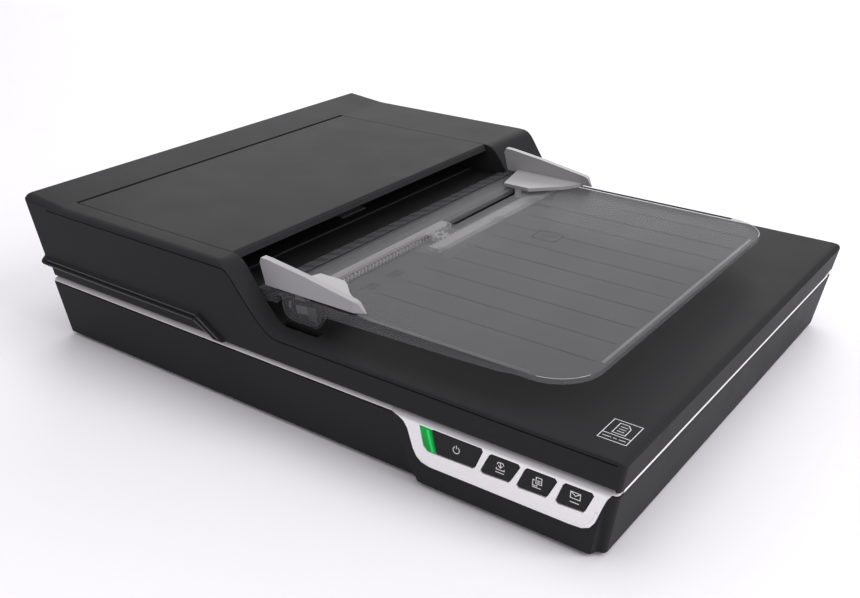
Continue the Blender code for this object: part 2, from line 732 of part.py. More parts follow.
FEED_IDLER = between(MOTOR_AXIS, FEED_AXIS, 18.0)
EXIT_IDLER = between(MOTOR_AXIS, EXIT_AXIS, 17.0)
GEARS = {
    "motor_gear": (MOTOR_AXIS, 6.0, 12, 1.4),
    "feed_idler_gear": (FEED_IDLER, 12.0, 24, 1.6),
    "feed_gear": (FEED_AXIS, 12.0, 24, 2.65),
    "exit_idler_gear": (EXIT_IDLER, 11.0, 22, 1.6),
    "exit_gear": (EXIT_AXIS, 11.0, 22, 2.15),
}
phases = {"motor_gear": 0.0}
phases["feed_idler_gear"] = mesh_phase(MOTOR_AXIS, 6.0, 0.0, FEED_IDLER, 12.0, 24)
phases["feed_gear"] = mesh_phase(FEED_IDLER, 12.0, phases["feed_idler_gear"], FEED_AXIS, 12.0, 24)
phases["exit_idler_gear"] = mesh_phase(MOTOR_AXIS, 6.0, 0.0, EXIT_IDLER, 11.0, 22)
phases["exit_gear"] = mesh_phase(EXIT_IDLER, 11.0, phases["exit_idler_gear"], EXIT_AXIS, 11.0, 22)
for name, (axis, radius, teeth, bore) in GEARS.items():
    outlines = [gear_outline(axis, radius, teeth, phases[name]), circle(axis, bore, 16)]
    gear = plate(name, outlines, GEAR_LOW, GEAR_HIGH, UPRIGHT)
    finish(gear, ACETAL, (axis[0], 0, axis[1]))

# ---------------------------------------------------------------- feeder cover

axis_x, axis_z = COVER_AXIS
cover_view = [
    (-152.5, 76.6),
    (-152.5, 78.5),
    (-152.0, 78.9),
    (-37.6, 78.9),
    (-36.4, 78.6),
    (-35.8, 77.9),
    (-34.4, 75.3),
    (-35.8, 75.3),
    (-37.6, 76.4),
    (-149.8, 76.6),
]
cover = plate("adf_cover", [cover_view], -124.5, 93.4, UPRIGHT)
for low, high in ((-126.4, -119), (88, 95.3)):
    pin = rod("pin", 1.15, (axis_x, low, axis_z), (axis_x, high, axis_z), 12)
    combine(cover, [pin], "UNION")
finish(cover, BLACK, (axis_x, 0, axis_z))
guide_view = [(-106, 74.0), (-104, 72.8), (-42, 72.8), (-39, 75.0), (-40, 76.1), (-106, 76.1)]
cover_guide = plate("cover_guide", [guide_view], -122, 91, UPRIGHT)
combine(cover_guide, [box("pick_window", (-74, -37, 60), (-49.5, 6, 90))])
finish(cover_guide, INNER, (axis_x, 0, axis_z))
bracket = box("pick_bracket", (-72, -36, 66), (-51.5, 5, 76.2))
cuts = [box("inside", (-80, -31.6, 60), (-40, 0.6, 74.3))]
pick_x, pick_z = PICK_AXIS
cuts.append(rod("bore", 2.1, (pick_x, -40, pick_z), (pick_x, 10, pick_z), 20))
combine(bracket, cuts)
finish(bracket, INNER, (axis_x, 0, axis_z))

# ---------------------------------------------------------------- input tray

corner_x = TRAY_RIGHT - TRAY_CORNER
tray_view = [(TRAY_LEFT, TRAY_FRONT)]
tray_view += arc((corner_x, TRAY_FRONT + TRAY_CORNER), TRAY_CORNER, 270, 360, 8)
tray_view += arc((corner_x, TRAY_REAR - TRAY_CORNER), TRAY_CORNER, 0, 90, 8)
tray_view += [(TRAY_LEFT, TRAY_REAR)]
tray_low = TRAY_TOP - TRAY_THICK
tray = plate("input_tray", [tray_view], tray_low, TRAY_TOP)
skirt_view = [(-6.4, 65.0), (-6.3, 58.0), (-5.4, 55.4), (-3.2, 53.2), (0.4, 52.4)]
skirt_view += [(14.9, 52.4), (17.8, 57.0), (18.4, 59.6), (29, 60.0), (63, 60.8), (90, 61.4)]
skirt_view += [(114, 62.4), (127.5, 64.2), (127.5, 65.0)]
joins = []
for low, high in ((TRAY_FRONT + 0.05, -120.0), (89.2, TRAY_REAR - 0.05)):
    joins.append(plate("skirt", [skirt_view], low, high, UPRIGHT))
combine(tray, joins, "UNION")
cuts = [box("rear_slot", (4.4, -5, 60), (10.0, 68.5, 70))]
cuts.append(box("front_slot", (4.4, -106.4, 60), (10.0, -26.2, 70)))
combine(tray, cuts)
pinion_x, pinion_y = PINION
stub = rod("stub", 1.4, (pinion_x, pinion_y, 60.3), (pinion_x, pinion_y, 64.5), 16)
combine(tray, [stub], "UNION")
hinge_x = TRAY_LEFT
finish(tray, SMOKE, (hinge_x, 0, 65.0))

cover_section = [(-8.6, 63.1), (-8.6, 58.6), (24.1, 58.6), (24.1, 63.1), (22.6, 63.1)]
cover_section += [(22.6, 60.1), (-7.1, 60.1), (-7.1, 63.1)]
pinion_cover = plate("pinion_cover", [cover_section], -34, 3, UPRIGHT)
finish(pinion_cover, SMOKE, (hinge_x, 0, 65.0))
rings = [
    gear_outline(PINION, PINION_RADIUS, PINION_TEETH, 0.0, 0.9, 0.42),
    circle(PINION, 1.7, 16),
]
finish(plate("guide_pinion", rings, 60.5, 63.0), ACETAL, (pinion_x, pinion_y, 61.8))


def rack_outline(edge, outer, direction, start, end):
    """A rack's outline from above, with a gap level with the pinion's middle."""
    pitch = 2 * math.pi * PINION_RADIUS / PINION_TEETH
    first = math.ceil((start + 1.2 - pinion_y) / pitch - 0.5) + 0.5
    points = [(outer, end), (outer, start), (edge - 0.9 * direction, start)]
    step = first
    while pinion_y + step * pitch < end - 1.2:
        middle = pinion_y + step * pitch
        for offset, height in ((-0.78, -0.9), (-0.4, 0.65), (0.4, 0.65), (0.78, -0.9)):
            points.append((edge + height * direction, middle + offset * 0.72))
        step += 1
    points.append((edge - 0.9 * direction, end))
    return points


GUIDE_VIEW = [
    (-19.0, 77.7),
    (-16.0, 66.8),
    (42.4, 67.2),
    (39.2, 71.8),
    (37.2, 72.7),
    (8.0, 77.4),
    (-13.5, 80.1),
    (-18.0, 80.3),
]
# Foot plates: x, and distance in from the wall, which differs front and rear.
FOOT_FRONT = [(-9.0, -1.0), (-1.9, 19.6), (13.0, 19.8), (16.6, 17.4), (24.0, 10.4)]
FOOT_FRONT += [(34.0, 4.0), (37.0, -1.0)]
FOOT_REAR = [(-9.0, -1.0), (-2.5, 26.0), (14.5, 26.3), (29.5, 11.5), (36.0, -1.0)]


def paper_guide(name, side):
    """One guide: wall, foot plate, stem through the tray's slot, and rack below."""
    inner = GUIDE_INNER[0] if side < 0 else GUIDE_INNER[1]
    wall_low, wall_high = sorted((inner, inner + side * GUIDE_WALL))
    guide = plate(name, [GUIDE_VIEW], wall_low, wall_high, UPRIGHT)
    outer = inner + side * GUIDE_WALL
    wedge = [(37.4, outer), (36.8, outer + side * 2), (60.0, outer + side * 2)]
    wedge += [(60.0, inner - side * 2), (45.0, inner - side * 0.6)]
    combine(guide, [plate("wedge", [wedge], 60.0, 90.0)])
    foot_view = [(x, inner - side * reach) for x, reach in (FOOT_FRONT if side < 0 else FOOT_REAR)]
    foot = plate("foot", [foot_view], 66.1, 68.2)
    stem_low, stem_high = sorted(inner - side * reach for reach in STEM_REACH[side])
    stem = box("stem", (4.9, stem_low, 61.0), (9.5, stem_high, 67.0))
    if side < 0:
        rack = rack_outline(pinion_x - PINION_RADIUS, -4.0, 1, inner + 3, 2.0)
        bridge = box("bridge", (-3.0, stem_low, 60.5), (9.4, stem_high, 63.1))
    else:
        rack = rack_outline(pinion_x + PINION_RADIUS, 19.5, -1, -33.0, inner - 3)
        bridge = box("bridge", (5.0, stem_low, 60.5), (18.0, stem_high, 63.1))
    bar = plate("bar", [rack], 60.4, 63.1)
    combine(guide, [foot, stem, bridge, bar], "UNION")
    return finish(guide, SILVER, (pinion_x, inner, 66.0))


paper_guide("guide_front", -1)
paper_guide("guide_rear", 1)
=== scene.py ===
"""The looks of the document scanner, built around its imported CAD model.

The scanner's own measurements are in millimetres from the middle of the base's
underside: +X runs towards the end of the input tray, -Y is the front with the
buttons and +Z is up. SHIFT moves them into the frame.
"""

import json
import math

import bmesh
import bpy
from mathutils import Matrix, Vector


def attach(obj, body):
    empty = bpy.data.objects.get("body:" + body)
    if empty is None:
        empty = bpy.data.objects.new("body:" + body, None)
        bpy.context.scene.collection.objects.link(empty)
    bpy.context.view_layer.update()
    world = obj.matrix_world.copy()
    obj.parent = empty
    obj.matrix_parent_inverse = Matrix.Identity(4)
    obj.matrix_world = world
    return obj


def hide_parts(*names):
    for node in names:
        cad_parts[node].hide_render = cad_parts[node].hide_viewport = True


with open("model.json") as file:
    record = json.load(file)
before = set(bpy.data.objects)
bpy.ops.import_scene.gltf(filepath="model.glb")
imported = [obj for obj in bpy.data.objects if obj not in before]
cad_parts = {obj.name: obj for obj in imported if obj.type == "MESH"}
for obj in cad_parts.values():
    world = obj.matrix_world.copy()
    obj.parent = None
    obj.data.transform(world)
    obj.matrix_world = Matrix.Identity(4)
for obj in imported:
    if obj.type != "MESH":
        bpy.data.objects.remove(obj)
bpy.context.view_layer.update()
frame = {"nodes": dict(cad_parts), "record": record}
nodes = frame["nodes"]

MM = 0.001
SHIFT = Vector((2.2, 0.0, 2.0))

# Where the walls stand at the foot of the base, and how far they lean per unit of height.
WALL_Y = 130.0
WALL_LEAN = 0.10
PANEL_Y = -135.6
PANEL_LEAN = 0.075
END_X = 170.0
END_LEAN = 0.165
ARM_Y = -123.75
COVER_EDGE_X = -35.72

# Heights of the level surfaces that carry lines, and how far the panel's pieces stand out.
LID_TOP = 48.3
TRAY_TOP = 65.8
RAMP_TOP = 65.36
RIB_TOP = 62.5
BEZEL_STEP = 36.6
PAD_UNDERSIDE = 33.0
APRON_PROUD = 0.9
BUTTON_PROUD = 0.7

slot_of = {part["node"]: part["material_slot"] for part in frame["record"]["subparts"]}
body_of = {}
for body_name, members in frame["record"]["behaviour"]["bodies"].items():
    for member in members:
        body_of[member] = body_name


def place(x, y, z):
    return (Vector((x, y, z)) + SHIFT) * MM


# ------------------------------------------------------------------ materials


class Nodes:
    """A short way to build one procedural material."""

    def __init__(self, name):
        self.material = bpy.data.materials.new(name)
        self.material.use_nodes = True
        self.tree = self.material.node_tree
        self.shader = self.tree.nodes["Principled BSDF"]
        self.coords = self.tree.nodes.new("ShaderNodeTexCoord")

    def set(self, **values):
        for key, value in values.items():
            self.shader.inputs[key.replace("_", " ")].default_value = value

    def noise(self, scale, detail=2.0, stretch=None, roughness=0.5):
        node = self.tree.nodes.new("ShaderNodeTexNoise")
        node.inputs["Scale"].default_value = scale
        node.inputs["Detail"].default_value = detail
        node.inputs["Roughness"].default_value = roughness
        source = self.coords.outputs["Object"]
        if stretch:
            mapping = self.tree.nodes.new("ShaderNodeMapping")
            mapping.inputs["Scale"].default_value = stretch
            self.tree.links.new(source, mapping.inputs["Vector"])
            source = mapping.outputs["Vector"]
        self.tree.links.new(source, node.inputs["Vector"])
        return node.outputs["Fac"]

    def ramp(self, source, low, high, first=0.3, last=0.7):
        node = self.tree.nodes.new("ShaderNodeValToRGB")
        node.color_ramp.elements[0].position = first
        node.color_ramp.elements[0].color = (*low, 1.0)
        node.color_ramp.elements[1].position = last
        node.color_ramp.elements[1].color = (*high, 1.0)
        self.tree.links.new(source, node.inputs["Fac"])
        return node.outputs["Color"]

    def span(self, source, low, high, start=0.3, end=0.7):
        node = self.tree.nodes.new("ShaderNodeMapRange")
        node.inputs["From Min"].default_value = start
        node.inputs["From Max"].default_value = end
        node.inputs["To Min"].default_value = low
        node.inputs["To Max"].default_value = high
        self.tree.links.new(source, node.inputs["Value"])
        return node.outputs["Result"]

    def bump(self, height, strength, distance):
        node = self.tree.nodes.new("ShaderNodeBump")
        node.inputs["Strength"].default_value = strength
        node.inputs["Distance"].default_value = distance
        self.tree.links.new(height, node.inputs["Height"])
        return node.outputs["Normal"]

    def plug(self, output, name):
        self.tree.links.new(output, self.shader.inputs[name])


def shade(value, blue=1.0):
    """A near-neutral colour; blue above 1 makes it cooler."""
    return (value, value * 0.975, value * blue)


def plastic(name, dark, light, rough, grain=1500.0, depth=0.2, spread=0.03, shine=0.5, blue=1.03):
    """Moulded plastic: spark-eroded grain, faint mottling and slightly uneven gloss."""
    made = Nodes(name)
    made.plug(made.ramp(made.noise(9.0, 3.0), shade(dark, blue), shade(light, blue)), "Base Color")
    made.plug(made.span(made.noise(45.0, 4.0), rough - spread, rough + spread), "Roughness")
    made.plug(made.bump(made.noise(grain, 2.0, roughness=0.6), depth, 0.00004), "Normal")
    made.set(Specular_IOR_Level=shine)
    return made


black = plastic("black_housing", 0.0245, 0.0265, 0.44, 1700.0, 0.25, 0.02, 0.03, 1.03)
inner = plastic("inner_black", 0.0035, 0.0050, 0.6, 900.0, 0.2, 0.05, 0.2)
# Painted shade: the crease colour is a near-black laid in creases, grooves, gaps and vent slots.
crease = plastic("painted_crease_shade", 0.0012, 0.0020, 0.8, 900.0, 0.1, 0.05, 0.1)
# Painted highlight: the edge sheen is a lighter black laid along lit edges, rims and ridges; it also
# gives the light grey of the arm's catch tongue.
edge_light = plastic("edge_sheen", 0.045, 0.055, 0.35, 900.0, 0.1, 0.05, 0.35)
white = plastic("white_plastic", 0.93, 0.95, 0.30, 1200.0, 0.08, 0.03, 0.5, 0.99)
# The trim's top slopes away under the lid, so painted shade greys it there; it stays white below.
bezel_painted_shade = Nodes("bezel_painted_shade")
axes = bezel_painted_shade.tree.nodes.new("ShaderNodeSeparateXYZ")
bezel_painted_shade.tree.links.new(bezel_painted_shade.coords.outputs["Object"], axes.inputs["Vector"])
depth = bezel_painted_shade.span(axes.outputs["Z"], 0.0, 1.0, 0.0322, 0.0352)
bezel_painted_shade.plug(bezel_painted_shade.ramp(depth, (0.95, 0.93, 0.95), (0.30, 0.29, 0.30), 0.0, 1.0), "Base Color")
bezel_painted_shade.plug(bezel_painted_shade.span(bezel_painted_shade.noise(45.0), 0.27, 0.33), "Roughness")
bezel_painted_shade.plug(bezel_painted_shade.bump(bezel_painted_shade.noise(1200.0), 0.08, 0.00004), "Normal")
foam = plastic("white_foam", 0.78, 0.85, 0.7, 500.0, 0.6, 0.05, 0.3, 1.0)
smoke = plastic("smoked_tray", 0.122, 0.132, 0.38, 1500.0, 0.0, 0.02, 0.2)
smoke.set(Alpha=0.34)
engraved = plastic("engraved_line", 0.022, 0.030, 0.6, 900.0, 0.1, 0.05, 0.2)
silver = plastic("silver_guide", 0.31, 0.34, 0.38, 1500.0, 0.15, 0.03, 0.4, 1.01)
# Painted shade along the tray's front edge.
edge_band = plastic("painted_tray_edge_shade", 0.040, 0.046, 0.4, 1500.0, 0.1, 0.03, 0.2)
silver_dim = plastic("catch_silver", 0.10, 0.12, 0.5, 1500.0, 0.1, 0.03, 0.3)
# Painted highlight for the tray's corners.
rim_glint = plastic("tray_rim_glint", 0.34, 0.40, 0.3, 900.0, 0.0, 0.03, 0.5)
button = plastic("button_black", 0.0072, 0.0088, 0.34, 1500.0, 0.1, 0.03, 0.22)
rubber = plastic("grey_rubber", 0.035, 0.055, 0.85, 700.0, 0.6, 0.05, 0.3)
rack_white = plastic("rack_white", 0.60, 0.66, 0.5, 900.0, 0.1, 0.05, 0.3, 1.0)
acetal = plastic("white_acetal", 0.60, 0.68, 0.45, 900.0, 0.2, 0.05, 0.5, 0.96)
ink = plastic("white_print", 0.74, 0.82, 0.45, 900.0, 0.05, 0.03, 0.3, 1.0)


def glowing(name, low, high):
    """The status light's lit green plastic."""
    made = Nodes(name)
    glow = made.ramp(made.noise(160.0, 1.0), low, high)
    made.plug(glow, "Base Color")
    made.plug(glow, "Emission Color")
    made.plug(made.span(made.noise(80.0), 0.15, 0.25), "Roughness")
    made.set(Emission_Strength=0.75, Specular_IOR_Level=0.2)
    return made


green = glowing("green_light", (0.0, 0.16, 0.022), (0.0, 0.24, 0.04))
# A brighter glowing green for a painted highlight across the status light.
green_bright = glowing("green_light_highlight", (0.0, 0.36, 0.06), (0.01, 0.46, 0.09))

glass = Nodes("platen_glass")
glass.plug(glass.ramp(glass.noise(9.0), (0.80, 0.86, 0.85), (0.86, 0.91, 0.90)), "Base Color")
glass.plug(glass.span(glass.noise(120.0), 0.01, 0.05), "Roughness")
glass.set(Transmission_Weight=0.85, IOR=1.5)

steel = Nodes("steel")
brushed = steel.noise(900.0, 3.0, (0.06, 1.0, 1.0))
steel.plug(steel.ramp(brushed, (0.42, 0.42, 0.43), (0.60, 0.60, 0.61)), "Base Color")
steel.plug(steel.span(brushed, 0.25, 0.42), "Roughness")
steel.plug(steel.bump(brushed, 0.15, 0.00003), "Normal")
steel.set(Metallic=1.0)

board = Nodes("circuit_board")
tracks = board.noise(260.0, 0.0, (1.0, 5.0, 1.0))
board.plug(board.ramp(tracks, (0.008, 0.07, 0.03), (0.02, 0.16, 0.07), 0.48, 0.52), "Base Color")
board.plug(board.span(tracks, 0.3, 0.5), "Roughness")

MATERIALS = {
    "black_housing": black,
    "inner_plastic": inner,
    "white_plastic": white,
    "white_foam": foam,
    "smoked_tray": smoke,
    "silver_guide": silver,
    "button_black": button,
    "green_light": green,
    "platen_glass": glass,
    "grey_rubber": rubber,
    "steel": steel,
    "circuit_board": board,
    "white_acetal": acetal,
}
for name, obj in nodes.items():
    made = (bezel_painted_shade if name == "bed_bezel" else MATERIALS[slot_of[name]]).material
    for index in range(len(obj.material_slots)):
        obj.material_slots[index].material = made


# ------------------------------------------------------------------ mesh tools


def add_piece(name, bm, material, node, smooth=True):
    """Turns a bmesh in frame metres into a piece that rides with the given CAD node."""
    bmesh.ops.recalc_face_normals(bm, faces=bm.faces)
    mesh = bpy.data.meshes.new(name)
    bm.to_mesh(mesh)
    bm.free()
    mesh.materials.append(material.material)
    mesh.polygons.foreach_set("use_smooth", [smooth] * len(mesh.polygons))
    obj = bpy.data.objects.new(name, mesh)
    bpy.context.scene.collection.objects.link(obj)
    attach(obj, body_of[node])
    return obj


def soften(node, width, segments=2, angle=28.0, below=None):
    """Replaces a CAD node by a copy of it with rounded edges. Faces that lie under the
    height `below` take the second material."""
    bm = bmesh.new()
    bm.from_mesh(nodes[node].data)
    bmesh.ops.remove_doubles(bm, verts=bm.verts, dist=0.00001)
    bmesh.ops.dissolve_limit(bm, angle_limit=math.radians(0.8), verts=bm.verts, edges=bm.edges)
    made = bezel_painted_shade if node == "bed_bezel" else MATERIALS[slot_of[node]]
    obj = add_piece(node + "_soft", bm, made, node)
    if below:
        obj.data.materials.append(below[1].material)
        for face in obj.data.polygons:
            face.material_index = int(face.center.z < place(0, 0, below[0]).z)
    modifier = obj.modifiers.new("edges", "BEVEL")
    modifier.width = width * MM
    modifier.segments = segments
    modifier.limit_method = "ANGLE"
    modifier.angle_limit = math.radians(angle)
    modifier.miter_outer = "MITER_ARC"
    weighted = obj.modifiers.new("shading", "WEIGHTED_NORMAL")
    weighted.mode = "FACE_AREA"
    weighted.weight = 100
    weighted.keep_sharp = True
    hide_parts(node)
    return obj


def draw(name, strokes, width, surface, material, node, lift=0.06):
    """Thin crowned lines on a surface. Each stroke is a list of (u, v) points, closed
    where its last point is its first; surface(u, v, height) gives a point in mm."""
    bm = bmesh.new()
    for stroke in strokes:
        closed = stroke[0] == stroke[-1] and len(stroke) > 2
        points = [Vector(point) for point in (stroke[:-1] if closed else stroke)]
        rows = []
        for index, point in enumerate(points):
            before = points[index - 1] if index or closed else point
            after = points[(index + 1) % len(points)] if index + 1 < len(points) or closed else point
            first = (point - before).normalized() if before != point else (after - point).normalized()
            second = (after - point).normalized() if after != point else first
            side = Vector((-first.y - second.y, first.x + second.x))
            side = side.normalized() if side.length > 0.001 else Vector((-first.y, first.x))
            reach = width / 2 / max(side.dot(Vector((-first.y, first.x))), 0.5)
            row = []
            for share, height in ((-1, 0.01), (-0.45, lift), (0.45, lift), (1, 0.01)):
                spot = point + side * reach * share
                row.append(bm.verts.new(place(*surface(spot.x, spot.y, height))))
            rows.append(row)
        pairs = list(zip(rows, rows[1:]))
        if closed:
            pairs.append((rows[-1], rows[0]))
        for low, high in pairs:
            for index in range(3):
                bm.faces.new((low[index], low[index + 1], high[index + 1], high[index]))
    return add_piece(name, bm, material, node)


def arc(centre, radius, start, end, steps):
    points = []
    for index in range(steps + 1):
        angle = math.radians(start + (end - start) * index / steps)
        points.append((centre[0] + radius * math.cos(angle), centre[1] + radius * math.sin(angle)))
    return points


def extrude_view(bm, outline, low, high, view):
    """A closed solid from an outline; view(u, v, w) gives its points in mm."""
    ends = []
    for level in (low, high):
        ends.append([bm.verts.new(place(*view(u, v, level))) for u, v in outline])
    bm.faces.new(ends[0])
    bm.faces.new(reversed(ends[1]))
    count = len(outline)
    for index in range(count):
        after = (index + 1) % count
        bm.faces.new((ends[0][index], ends[1][index], ends[1][after], ends[0][after]))


def rounded(x0, y0, x1, y1, radius, steps=3):
    points = arc((x0 + radius, y0 + radius), radius, 180, 270, steps)
    points += arc((x1 - radius, y0 + radius), radius, 270, 360, steps)
    points += arc((x1 - radius, y1 - radius), radius, 0, 90, steps)
    points += arc((x0 + radius, y1 - radius), radius, 90, 180, steps)
    return points


def on_front(reach=0.0):
    """The leaning front wall: u is X and v is Z."""
    return lambda u, v, height: (u, -WALL_Y - WALL_LEAN * v - reach - height, v)


def on_rear(u, v, height):
    """The leaning rear wall: u is X and v is Z."""
    return (u, WALL_Y + WALL_LEAN * v + height, v)


def on_level(level):
    """A level surface: u is X and v is Y."""
    return lambda u, v, height: (u, v, level + height)


def on_panel(reach):
    """The control panel: u is X and v is Z."""
    return lambda u, v, height: (u, PANEL_Y + PANEL_LEAN * v - reach - height, v)


def on_cover_edge(u, v, height):
    """The upright edge of the cover's lip: u is Y and v is Z."""
    return (COVER_EDGE_X + height, u, v)


def under_pad(u, v, height):
    """The underside of the document pad: u is X and v is Y."""
    return (u, v, PAD_UNDERSIDE - height)


def facing_y(u, v, w):
    return (u, w, v)


# ------------------------------------------------------------------ softened CAD pieces

SOFT_EDGES = {
    "lid_shell": 0.5,
    "base_shell": 0.8,
    "bed_bezel": 0.8,
    "adf_cover": 0.25,
    "input_tray": 0.5,
    "feed_ramp": 0.3,
    "guide_front": 0.8,
    "guide_rear": 0.8,
    "power_button": 0.35,
    "scan_button": 0.35,
    "copy_button": 0.35,
    "mail_button": 0.35,
    "status_light": 0.3,
    "document_pad": 1.2,
    "pick_bracket": 0.4,
    "carriage_body": 0.6,
}
RACKS = {"guide_front": (63.6, rack_white), "guide_rear": (63.6, rack_white)}
for node, width in SOFT_EDGES.items():
    soften(node, width, below=RACKS.get(node))

# ------------------------------------------------------------------ lines on the housing

# Creases, drawn as painted shade: under the bevel of the feeder and of the lid, down the cheek between
# them.
CREASE = [(-163.0, 76.1), (-31.0, 76.1), (-28.6, 75.3), (-27.0, 74.0), (-25.4, 72.0)]
CREASE += [(-21.0, 65.0), (-16.4, 58.4), (-11.1, 51.9), (-7.9, 48.9), (-4.4, 46.9)]
CREASE += [(0.4, 46.1), (174.0, 46.1)]
draw("housing_crease_shade", [CREASE], 0.75, on_front(), crease, "lid_shell")
# The lip's groove is painted shade, with painted highlights along its upper and lower edges.
LIP_LINES = {
    "lip_crease": (0.7, crease, 2.25, [(-173.0, 43.6), (-56.0, 43.6), (-54.6, 43.1)]),
    "lip_upper_sheen": (0.9, edge_light, 1.5, [(-172.0, 44.6), (-54.0, 44.6)]),
    "lip_lower_sheen": (0.9, edge_light, 2.2, [(-172.0, 42.0), (-56.6, 42.0)]),
    "lip_end_crease": (0.7, crease, 2.02, [(-54.6, 43.1), (-53.0, 42.4), (-42.1, 35.1)]),
    "lip_end_upper_sheen": (0.8, edge_light, 2.0, [(-53.0, 44.3), (-51.6, 43.4), (-40.2, 35.3)]),
    "lip_end_lower_sheen": (0.7, edge_light, 2.0, [(-56.0, 41.7), (-54.6, 41.0), (-44.2, 35.2)]),
}
for name, (width, material, reach, stroke) in LIP_LINES.items():
    draw(name, [stroke], width, on_front(reach), material, "lid_shell")

# ------------------------------------------------------------------ buttons


def shifted(strokes, x, z, size):
    return [[(x + u * size, z + v * size) for u, v in stroke] for stroke in strokes]


RING = arc((0, 0), 1.0, 120, 420, 16)
POWER_ICON = [RING, [(0, 0.35), (0, 1.35)]]
SCAN_ICON = [
    [(-1.3, -0.5), (-1.3, -1.1), (1.3, -1.1), (1.3, -0.5)],
    [(0, 1.4), (0, -0.4)],
    [(-0.7, 0.3), (0, -0.45), (0.7, 0.3)],
    [(-1.1, 0.5), (-0.8, 1.2), (0.8, 1.2), (1.1, 0.5)],
]
SHEET = [(-0.9, -1.0), (0.9, -1.0), (0.9, 1.0), (-0.9, 1.0), (-0.9, -1.0)]
COPY_ICON = [[(u + 0.5, v + 0.25) for u, v in SHEET]]
COPY_ICON += [[(-0.8, 0.2), (-1.4, 0.2), (-1.4, -1.5), (0.0, -1.5), (0.0, -1.1)]]
COPY_ICON += [[(0.0, 0.3), (1.0, 0.3)], [(0.0, -0.2), (1.0, -0.2)]]
MAIL_ICON = [[(-1.4, -0.7), (1.4, -0.7), (1.4, 1.1), (-1.4, 1.1), (-1.4, -0.7)]]
MAIL_ICON += [[(-1.4, 1.1), (0, 0.1), (1.4, 1.1)]]
ICONS = {
    "power_button": (POWER_ICON, 100.6, 25.0, 1.6),
    "scan_button": (SCAN_ICON, 122.6, 25.4, 1.45),
    "copy_button": (COPY_ICON, 140.1, 25.3, 1.45),
    "mail_button": (MAIL_ICON, 157.4, 25.3, 1.55),
}
for node, (icon, x, z, size) in ICONS.items():
    strokes = shifted(icon, x, z, size)
    if node != "power_button":
        strokes.append([(x - 2.2, z - 2.9), (x + 1.9, z - 2.9)])
    draw(node + "_icon", strokes, 0.36, on_panel(BUTTON_PROUD), ink, node, 0.04)
# A soft bead along the apron's lower edge.
BEAD = [(78.9, 18.6), (80.9, 15.6), (83.5, 13.7), (87.6, 12.8), (123.0, 12.8), (156.0, 13.2)]
BEAD += [(161.3, 13.6), (164.2, 15.0), (165.8, 17.3), (167.3, 22.0)]
draw("apron_bead", [BEAD], 1.2, on_panel(APRON_PROUD), bezel_painted_shade, "bed_bezel", 0.22)


def on_end(reach):
    """The leaning right wall: u is Y and v is Z."""
    return lambda u, v, height: (END_X + END_LEAN * v + reach + height, u, v)


draw("end_band", [[(-128.4, 31.35), (126.0, 31.35)]], 1.9, on_end(-0.35), white, "bed_bezel", 0.15)
# A painted highlight slants across the status light's glow.
core = [[(88.7, 19.7), (85.4, 29.4)]]
draw("status_light_highlight", core, 1.3, on_panel(APRON_PROUD - 0.1), green_bright, "status_light", 0.12)

# A plain label with a frame, a sheet and a bar, near the lid's front right corner.
label = [(159.2, -123.0), (171.6, -123.0), (171.6, -107.6), (159.2, -107.6), (159.2, -123.0)]
label_lines = [label, [(159.2, -118.6), (171.6, -118.6)]]
sheet_icon = [(162.6, -117.0), (168.2, -117.0), (168.2, -111.6), (166.4, -109.4), (162.6, -109.4)]
label_lines.append(sheet_icon + sheet_icon[:1])
for level in (-115.2, -113.4, -111.6):
    label_lines.append([(163.8, level), (167.0, level)])
for start, end in ((160.4, 164.2), (165.0, 166.6), (167.4, 170.4)):
    label_lines.append([(start, -120.8), (end, -120.8)])
draw("lid_label", label_lines, 0.32, on_level(LID_TOP), ink, "lid_shell", 0.04)

# ------------------------------------------------------------------ input tray

LINE_PITCH = 18.6
FIRST_LINE_Y = -98.6
tray_lines = []
for index in range(10):
    y = FIRST_LINE_Y + LINE_PITCH * index
    start = (31.0, 34.0)[index % 2] if index < 9 else 69.0
    tray_lines.append([(start, y), (144.5, y)])
draw("tray_lines", tray_lines, 0.42, on_level(TRAY_TOP), engraved, "input_tray", 0.04)

# Size marks at the left end of five of the lines: a small sheet and a tick, no lettering.
marks = []
for index in (0, 1, 3, 6, 8):
    y = FIRST_LINE_Y + LINE_PITCH * index
    marks.append([(21.0, y), (27.0, y)])
    marks.append([(22.0, y + 2.2), (26.4, y + 2.2), (26.4, y + 7.2), (22.0, y + 7.2), (22.0, y + 2.2)])
    marks.append([(23.2, y + 4.0), (25.2, y + 4.0)])
    marks.append([(23.2, y + 5.4), (25.2, y + 5.4)])
draw("tray_marks", marks, 0.4, on_level(TRAY_TOP), engraved, "input_tray", 0.03)
big = rounded(52.0, 4.0, 66.0, 16.0, 2.0)
feed_mark = [big + big[:1]]
for end, level in ((63.0, 13.0), (63.0, 10.4), (60.0, 7.6)):
    feed_mark.append([(55.0, level), (end, level)])
draw("tray_feed_mark", feed_mark, 0.55, on_level(TRAY_TOP), engraved, "input_tray", 0.03)

# Painted shade darkens the tray's thick front and rear edges along its top; painted highlights mark its
# corners and its right edge.
front_edge = [(20.0, -122.6), (116.0, -122.6), (127.0, -122.0)]
draw("tray_front_band", [front_edge], 2.3, on_level(TRAY_TOP), edge_band, "input_tray", 0.03)
rear_edge = [(-4.0, 91.7), (128.0, 91.7)]
draw("tray_rear_band", [rear_edge], 2.4, on_level(TRAY_TOP), crease, "input_tray", 0.03)
glints = [arc((128.0, -101.8), 21.7, 278, 338, 10), arc((128.0, 71.0), 21.7, 8, 60, 10)]
draw("tray_glints", glints, 0.35, on_level(TRAY_TOP), rim_glint, "input_tray", 0.05)
right_edge = [(147.4, -98.0), (147.4, 68.0)]
draw("tray_right_band", [right_edge], 1.6, on_level(TRAY_TOP), edge_light, "input_tray", 0.02)


